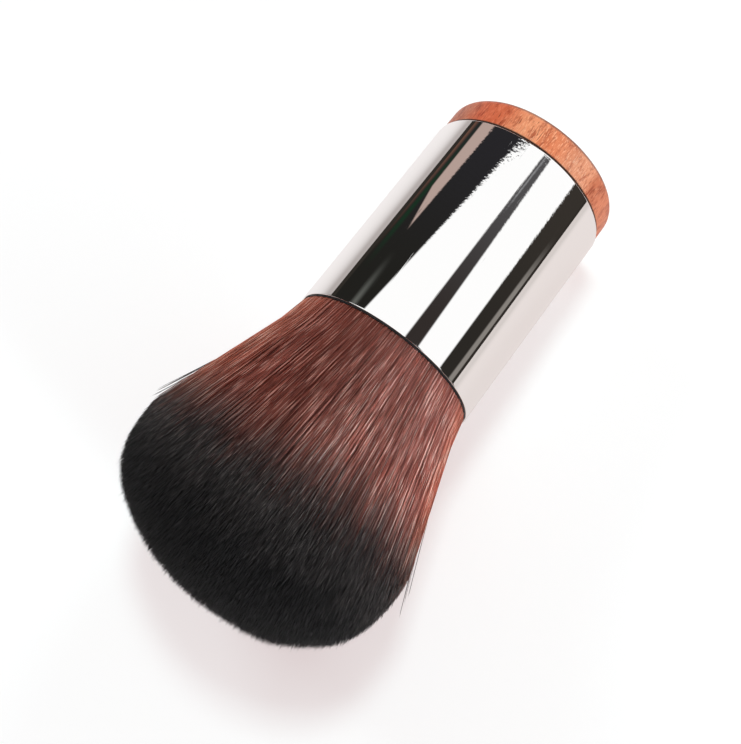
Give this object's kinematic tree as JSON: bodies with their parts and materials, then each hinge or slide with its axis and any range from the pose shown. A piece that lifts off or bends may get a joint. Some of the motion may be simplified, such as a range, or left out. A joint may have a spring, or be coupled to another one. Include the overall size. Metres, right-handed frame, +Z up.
{
  "type": "powder brush",
  "caption": "Short cosmetic powder brush: a domed head of fanned bristles in a chromed tube handle, closed by a turned wooden end with a flat face.",
  "frame": {"origin": "on the floor, under the middle of the lying brush's bounding box", "axes": "+Z up with the brush lying on its side; +X from the bristles towards the wooden end, which the brush's own axis leaves by 5.71 degrees because it slopes down to the wooden end; +Y to the left of +X"},
  "size_m": [0.1002, 0.0514, 0.0506],
  "materials": {
    "chromed_tube": "bright polished plating",
    "reddish_wood": "smooth turned, oiled, open pores",
    "black_plastic": "moulded, semi-gloss black",
    "cast_resin": "as cast",
    "dipped_bristle": "fine fibre, brown at the root and black at the tip",
    "set_glue": "set glue"
  },
  "bodies": {
    "root": {"handle_tube": "chromed_tube", "wooden_end": "reddish_wood", "knot_cup": "black_plastic", "root_resin": "cast_resin", "bristle_head": "dipped_bristle", "glue_ring_front": "set_glue", "glue_ring_rear": "set_glue"}
  },
  "joints": []
}
